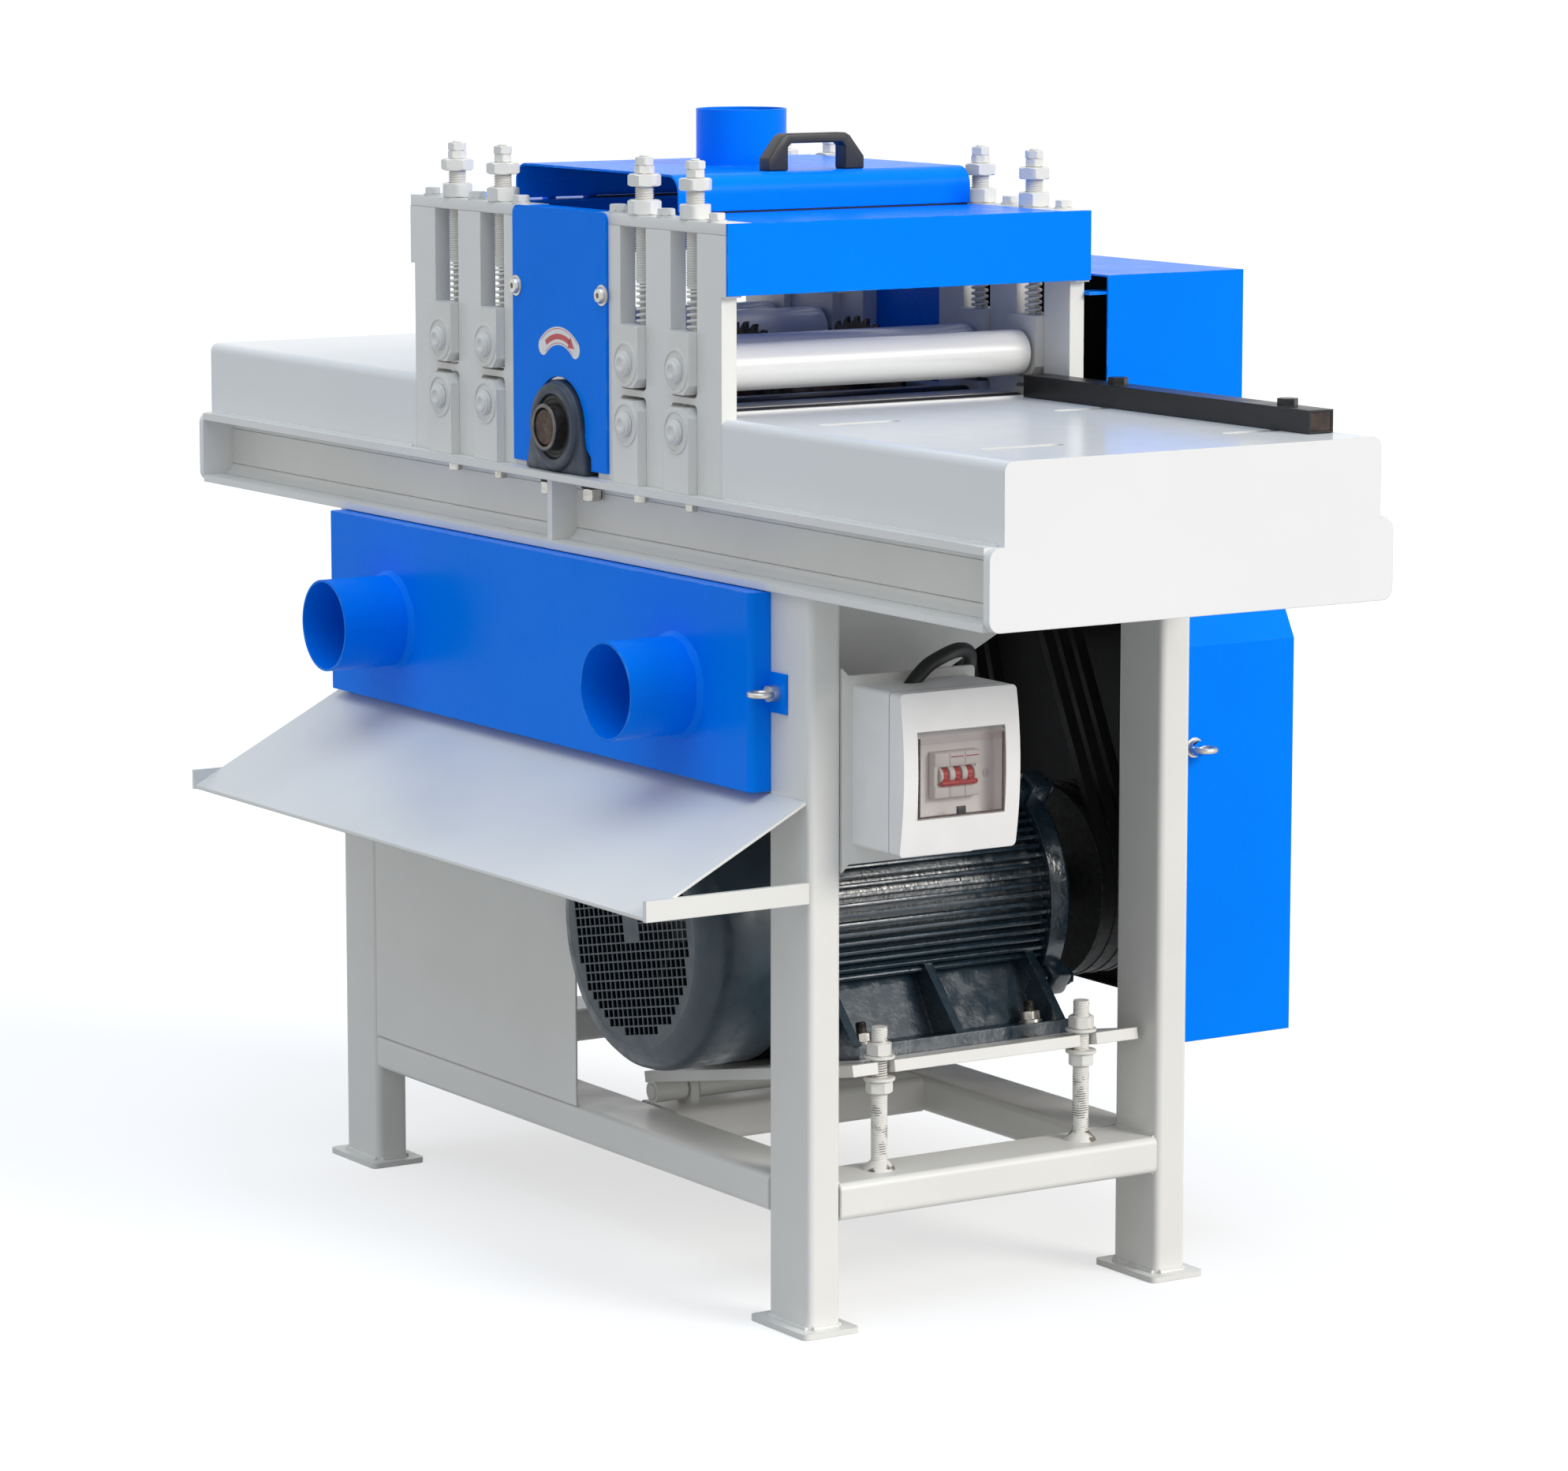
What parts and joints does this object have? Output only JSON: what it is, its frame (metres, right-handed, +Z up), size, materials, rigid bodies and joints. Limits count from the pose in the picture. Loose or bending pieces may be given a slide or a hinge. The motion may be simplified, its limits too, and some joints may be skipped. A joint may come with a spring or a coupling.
{
  "type": "multi-rip saw",
  "caption": "Floor-standing multi-rip saw with infeed and outfeed tables, roller head over ganged blades, hinged dust hood, dust tray, sloping waste chute and belt-driven motor.",
  "frame": {"origin": "on the floor under the middle of the saw head", "axes": "+Z up; X along the feed with the infeed table at +X; -Y is the side with the dust ports, +Y the belt side"},
  "size_m": [1.614, 0.8405, 1.194],
  "materials": {
    "cream_paint": "semi-gloss cream-white enamel",
    "blue_paint": "gloss azure enamel",
    "roller_steel": "ground steel",
    "dark_steel": "oiled dark steel",
    "blade_steel": "saw steel",
    "zinc": "zinc plated",
    "slate_casting": "dark slate enamel on castings",
    "pulley_iron": "turned iron",
    "black_rubber": "black rubber",
    "chain_steel": "oiled chain",
    "black_plastic": "black moulded plastic",
    "black_paint": "black enamel",
    "white_plastic": "white moulded plastic",
    "clear_plastic": "clear smoked plastic",
    "red_plastic": "red moulded plastic"
  },
  "bodies": {
    "machine": {"base_frame": "cream_paint", "waste_chute": "cream_paint", "side_channels": "cream_paint", "infeed_table": "cream_paint", "outfeed_table": "cream_paint", "bed_plates": "cream_paint", "head_side_plates": "cream_paint", "cap_bars": "cream_paint", "cap_bolts": "cream_paint", "head_covers": "blue_paint", "frame_screws": "zinc", "arbor_bearing_blocks": "slate_casting", "lower_bearing_blocks": "cream_paint", "breaker_box_back": "white_plastic", "breaker_box_cover": "white_plastic", "circuit_breaker": "white_plastic", "belt_guard_upper": "blue_paint", "motor_cable": "black_rubber", "feed_gearmotor": "slate_casting", "feed_chain": "chain_steel", "drive_belts": "black_rubber"},
    "arbor": {"arbor_shaft": "dark_steel", "saw_blades": "blade_steel", "arbor_pulley": "pulley_iron"},
    "motor_cradle": {"cradle_plate": "cream_paint", "motor_frame": "slate_casting", "fan_cowl": "slate_casting", "motor_mount_bolts": "zinc"},
    "tension_nuts": {"cradle_nuts": "cream_paint"},
    "rotor": {"motor_rotor": "pulley_iron", "motor_pulley": "pulley_iron"},
    "feed_sprocket": {"feed_sprocket": "zinc"},
    "hood": {"hood_shell": "blue_paint", "hood_handle": "black_plastic"},
    "dust_tray": {"dust_tray": "blue_paint", "tray_eye_nuts": "zinc"},
    "lower_guard": {"belt_guard_lower": "blue_paint"},
    "breaker_flap": {"breaker_flap": "clear_plastic"},
    "breaker_toggle": {"breaker_toggle": "red_plastic"},
    "fence": {"fence": "black_paint"},
    "lower_roller_1": {"lower_roller_1": "dark_steel"},
    "adjusters_1": {"adjusting_screws_1": "cream_paint", "carriage_springs_1": "cream_paint"},
    "carriage_1": {"carriage_1": "cream_paint"},
    "upper_roller_1": {"upper_roller_1": "roller_steel"},
    "lower_roller_2": {"lower_roller_2": "dark_steel"},
    "adjusters_2": {"adjusting_screws_2": "cream_paint", "carriage_springs_2": "cream_paint"},
    "carriage_2": {"carriage_2": "cream_paint"},
    "upper_roller_2": {"upper_roller_2": "roller_steel"},
    "lower_roller_3": {"lower_roller_3": "dark_steel"},
    "adjusters_3": {"adjusting_screws_3": "cream_paint", "carriage_springs_3": "cream_paint"},
    "carriage_3": {"carriage_3": "cream_paint"},
    "upper_roller_3": {"upper_roller_3": "roller_steel"},
    "lower_roller_4": {"lower_roller_4": "dark_steel"},
    "adjusters_4": {"adjusting_screws_4": "cream_paint", "carriage_springs_4": "cream_paint"},
    "carriage_4": {"carriage_4": "cream_paint"},
    "upper_roller_4": {"upper_roller_4": "roller_steel"}
  },
  "joints": [
    {"name": "cradle_tilt", "type": "hinge", "parent": "machine", "child": "motor_cradle", "pos_m": [0.08281, 0, 0.1657], "axis": [0, -1, 0], "range_deg": [-1.5, 1.5], "deforming": ["drive_belts", "motor_cable"]},
    {"name": "nuts_height", "type": "slide", "parent": "machine", "child": "tension_nuts", "axis": [0, 0, 1], "range_m": [-0.01, 0.01]},
    {"name": "motor_spin", "type": "hinge", "parent": "motor_cradle", "child": "rotor", "pos_m": [0.201, 0, 0.37], "axis": [0, 1, 0], "continuous": true},
    {"name": "arbor_spin", "type": "hinge", "parent": "machine", "child": "arbor", "pos_m": [0, 0, 0.868], "axis": [0, 1, 0], "continuous": true},
    {"name": "feed_sprocket_spin", "type": "hinge", "parent": "machine", "child": "feed_sprocket", "pos_m": [-0.243, 0, 0.62], "axis": [0, 1, 0], "continuous": true},
    {"name": "lower_roller_1_spin", "type": "hinge", "parent": "machine", "child": "lower_roller_1", "pos_m": [0.243, 0, 0.882], "axis": [0, 1, 0], "continuous": true},
    {"name": "adjuster_1_height", "type": "slide", "parent": "machine", "child": "adjusters_1", "axis": [0, 0, 1], "range_m": [-0.002, 0.05]},
    {"name": "carriage_1_lift", "type": "slide", "parent": "adjusters_1", "child": "carriage_1", "axis": [0, 0, 1], "range_m": [0, 0.008], "stiffness_N_per_m": 8000, "springref_m": -0.01, "deforming": ["carriage_springs_1"]},
    {"name": "upper_roller_1_spin", "type": "hinge", "parent": "carriage_1", "child": "upper_roller_1", "pos_m": [0.243, 0, 0.944], "axis": [0, 1, 0], "continuous": true},
    {"name": "lower_roller_2_spin", "type": "hinge", "parent": "machine", "child": "lower_roller_2", "pos_m": [0.1445, 0, 0.882], "axis": [0, 1, 0], "continuous": true},
    {"name": "adjuster_2_height", "type": "slide", "parent": "machine", "child": "adjusters_2", "axis": [0, 0, 1], "range_m": [-0.002, 0.05]},
    {"name": "carriage_2_lift", "type": "slide", "parent": "adjusters_2", "child": "carriage_2", "axis": [0, 0, 1], "range_m": [0, 0.008], "stiffness_N_per_m": 8000, "springref_m": -0.01, "deforming": ["carriage_springs_2"]},
    {"name": "upper_roller_2_spin", "type": "hinge", "parent": "carriage_2", "child": "upper_roller_2", "pos_m": [0.1445, 0, 0.944], "axis": [0, 1, 0], "continuous": true},
    {"name": "lower_roller_3_spin", "type": "hinge", "parent": "machine", "child": "lower_roller_3", "pos_m": [-0.1445, 0, 0.882], "axis": [0, 1, 0], "continuous": true},
    {"name": "adjuster_3_height", "type": "slide", "parent": "machine", "child": "adjusters_3", "axis": [0, 0, 1], "range_m": [-0.002, 0.05]},
    {"name": "carriage_3_lift", "type": "slide", "parent": "adjusters_3", "child": "carriage_3", "axis": [0, 0, 1], "range_m": [0, 0.008], "stiffness_N_per_m": 8000, "springref_m": -0.01, "deforming": ["carriage_springs_3"]},
    {"name": "upper_roller_3_spin", "type": "hinge", "parent": "carriage_3", "child": "upper_roller_3", "pos_m": [-0.1445, 0, 0.944], "axis": [0, 1, 0], "continuous": true},
    {"name": "lower_roller_4_spin", "type": "hinge", "parent": "machine", "child": "lower_roller_4", "pos_m": [-0.243, 0, 0.882], "axis": [0, 1, 0], "continuous": true},
    {"name": "adjuster_4_height", "type": "slide", "parent": "machine", "child": "adjusters_4", "axis": [0, 0, 1], "range_m": [-0.002, 0.05]},
    {"name": "carriage_4_lift", "type": "slide", "parent": "adjusters_4", "child": "carriage_4", "axis": [0, 0, 1], "range_m": [0, 0.008], "stiffness_N_per_m": 8000, "springref_m": -0.01, "deforming": ["carriage_springs_4"]},
    {"name": "upper_roller_4_spin", "type": "hinge", "parent": "carriage_4", "child": "upper_roller_4", "pos_m": [-0.243, 0, 0.944], "axis": [0, 1, 0], "continuous": true},
    {"name": "hood_hinge", "type": "hinge", "parent": "machine", "child": "hood", "pos_m": [-0.172, 0, 1.103], "axis": [0, -1, 0], "range_deg": [0, 80]},
    {"name": "tray_slide", "type": "slide", "parent": "machine", "child": "dust_tray", "axis": [0, -1, 0], "range_m": [0, 0.12]},
    {"name": "guard_slide", "type": "slide", "parent": "machine", "child": "lower_guard", "axis": [0, 1, 0], "range_m": [0, 0.12]},
    {"name": "flap_hinge", "type": "hinge", "parent": "machine", "child": "breaker_flap", "pos_m": [0.57799, -0.113, 0.61], "axis": [0, -1, 0], "range_deg": [0, 86]},
    {"name": "toggle_swing", "type": "hinge", "parent": "machine", "child": "breaker_toggle", "pos_m": [0.5644, -0.11, 0.566], "axis": [0, -1, 0], "range_deg": [0, 90]},
    {"name": "fence_slide", "type": "slide", "parent": "machine", "child": "fence", "axis": [0, -1, 0], "range_m": [0, 0.062]}
  ],
  "couplings": [
    {"joint": "nuts_height", "follows": "cradle_tilt", "m_per_rad": 0.37159},
    {"joint": "arbor_spin", "follows": "motor_spin", "ratio": 1.6154},
    {"joint": "feed_sprocket_spin", "follows": "lower_roller_1_spin", "ratio": 1},
    {"joint": "lower_roller_2_spin", "follows": "lower_roller_1_spin", "ratio": 1},
    {"joint": "lower_roller_3_spin", "follows": "lower_roller_1_spin", "ratio": 1},
    {"joint": "lower_roller_4_spin", "follows": "lower_roller_1_spin", "ratio": 1}
  ]
}
